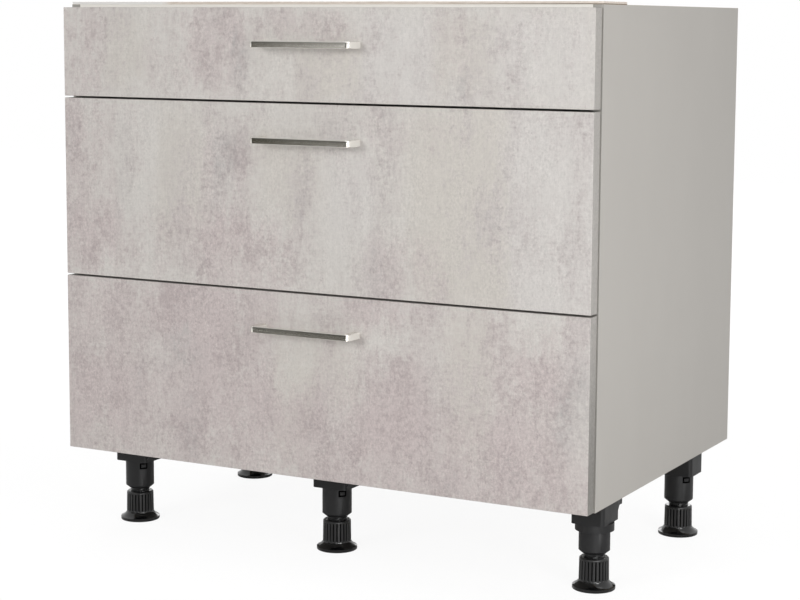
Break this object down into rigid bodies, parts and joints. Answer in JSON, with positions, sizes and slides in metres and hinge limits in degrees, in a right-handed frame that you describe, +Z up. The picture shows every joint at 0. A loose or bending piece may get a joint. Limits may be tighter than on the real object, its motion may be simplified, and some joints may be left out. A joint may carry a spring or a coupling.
{
  "type": "base cabinet with drawers",
  "caption": "Kitchen base cabinet with a shallow drawer over deep drawers, concrete-look fronts, bow handles, a grey carcass and adjustable black legs.",
  "frame": {"origin": "on the floor, under the middle of the bounding box", "axes": "+X to the right seen from in front of the drawers, -Y out of the fronts, +Z up"},
  "size_m": [0.9, 0.617, 0.848],
  "materials": {
    "front_decor": "matt concrete-look decor on chipboard",
    "grey_melamine": "fine matt melamine on chipboard",
    "raw_board": "raw board, unfinished",
    "back_board": "painted hardboard",
    "drawer_board": "fine matt melamine on chipboard",
    "dowel_wood": "raw beech",
    "black_plastic": "satin moulded plastic",
    "satin_nickel": "satin nickel",
    "zinc_steel": "bright zinc plating",
    "grey_painted_steel": "fine powder coat"
  },
  "bodies": {
    "cabinet": {"side_panel_left": "grey_melamine", "side_panel_right": "grey_melamine", "bottom_panel": "grey_melamine", "back_panel": "back_board", "top_rail_front": "grey_melamine", "top_rail_rear": "grey_melamine", "top_strip": "raw_board", "panel_dowels": "dowel_wood", "cam_locks": "zinc_steel", "cam_bolts": "zinc_steel", "wood_screws": "zinc_steel", "plinth_clip_front_right": "black_plastic", "leg_socket_front_left": "black_plastic", "leg_socket_front_middle": "black_plastic", "leg_socket_front_right": "black_plastic", "leg_socket_rear_left": "black_plastic", "leg_socket_rear_right": "black_plastic", "leg_sleeve_front_left": "black_plastic", "leg_sleeve_front_middle": "black_plastic", "leg_sleeve_front_right": "black_plastic", "leg_sleeve_rear_left": "black_plastic", "leg_sleeve_rear_right": "black_plastic", "cabinet_runners_top": "zinc_steel", "cabinet_runners_middle": "zinc_steel", "cabinet_runners_bottom": "zinc_steel"},
    "drawer_top": {"front_top": "front_decor", "handle_top": "satin_nickel", "handle_screws_top": "zinc_steel", "front_brackets_top": "zinc_steel", "drawer_bottom_top": "drawer_board", "drawer_back_top": "drawer_board", "drawer_side_left_top": "grey_painted_steel", "drawer_side_right_top": "grey_painted_steel"},
    "middle_runner_top": {"middle_runners_top": "zinc_steel"},
    "drawer_middle": {"front_middle": "front_decor", "handle_middle": "satin_nickel", "handle_screws_middle": "zinc_steel", "front_brackets_middle": "zinc_steel", "drawer_bottom_middle": "drawer_board", "drawer_back_middle": "drawer_board", "drawer_side_left_middle": "grey_painted_steel", "drawer_side_right_middle": "grey_painted_steel", "side_rods_middle": "grey_painted_steel"},
    "middle_runner_middle": {"middle_runners_middle": "zinc_steel"},
    "drawer_bottom": {"front_bottom": "front_decor", "handle_bottom": "satin_nickel", "handle_screws_bottom": "zinc_steel", "front_brackets_bottom": "zinc_steel", "drawer_bottom_bottom": "drawer_board", "drawer_back_bottom": "drawer_board", "drawer_side_left_bottom": "grey_painted_steel", "drawer_side_right_bottom": "grey_painted_steel", "side_rods_bottom": "grey_painted_steel"},
    "middle_runner_bottom": {"middle_runners_bottom": "zinc_steel"},
    "foot_front_left": {"leg_foot_front_left": "black_plastic"},
    "foot_front_middle": {"leg_foot_front_middle": "black_plastic"},
    "foot_front_right": {"leg_foot_front_right": "black_plastic"},
    "foot_rear_left": {"leg_foot_rear_left": "black_plastic"},
    "foot_rear_right": {"leg_foot_rear_right": "black_plastic"}
  },
  "joints": [
    {"name": "drawer_top_slide", "type": "slide", "parent": "cabinet", "child": "drawer_top", "axis": [0, -1, 0], "range_m": [0, 0.48]},
    {"name": "middle_runner_top_slide", "type": "slide", "parent": "cabinet", "child": "middle_runner_top", "axis": [0, -1, 0], "range_m": [0, 0.24]},
    {"name": "drawer_middle_slide", "type": "slide", "parent": "cabinet", "child": "drawer_middle", "axis": [0, -1, 0], "range_m": [0, 0.48]},
    {"name": "middle_runner_middle_slide", "type": "slide", "parent": "cabinet", "child": "middle_runner_middle", "axis": [0, -1, 0], "range_m": [0, 0.24]},
    {"name": "drawer_bottom_slide", "type": "slide", "parent": "cabinet", "child": "drawer_bottom", "axis": [0, -1, 0], "range_m": [0, 0.48]},
    {"name": "middle_runner_bottom_slide", "type": "slide", "parent": "cabinet", "child": "middle_runner_bottom", "axis": [0, -1, 0], "range_m": [0, 0.24]},
    {"name": "foot_front_left_screw", "type": "slide", "parent": "cabinet", "child": "foot_front_left", "axis": [0, 0, -1], "range_m": [-0.005, 0.025]},
    {"name": "foot_front_middle_screw", "type": "slide", "parent": "cabinet", "child": "foot_front_middle", "axis": [0, 0, -1], "range_m": [-0.005, 0.025]},
    {"name": "foot_front_right_screw", "type": "slide", "parent": "cabinet", "child": "foot_front_right", "axis": [0, 0, -1], "range_m": [-0.005, 0.025]},
    {"name": "foot_rear_left_screw", "type": "slide", "parent": "cabinet", "child": "foot_rear_left", "axis": [0, 0, -1], "range_m": [-0.005, 0.025]},
    {"name": "foot_rear_right_screw", "type": "slide", "parent": "cabinet", "child": "foot_rear_right", "axis": [0, 0, -1], "range_m": [-0.005, 0.025]}
  ],
  "couplings": [
    {"joint": "middle_runner_top_slide", "follows": "drawer_top_slide", "ratio": 0.5},
    {"joint": "middle_runner_middle_slide", "follows": "drawer_middle_slide", "ratio": 0.5},
    {"joint": "middle_runner_bottom_slide", "follows": "drawer_bottom_slide", "ratio": 0.5}
  ]
}
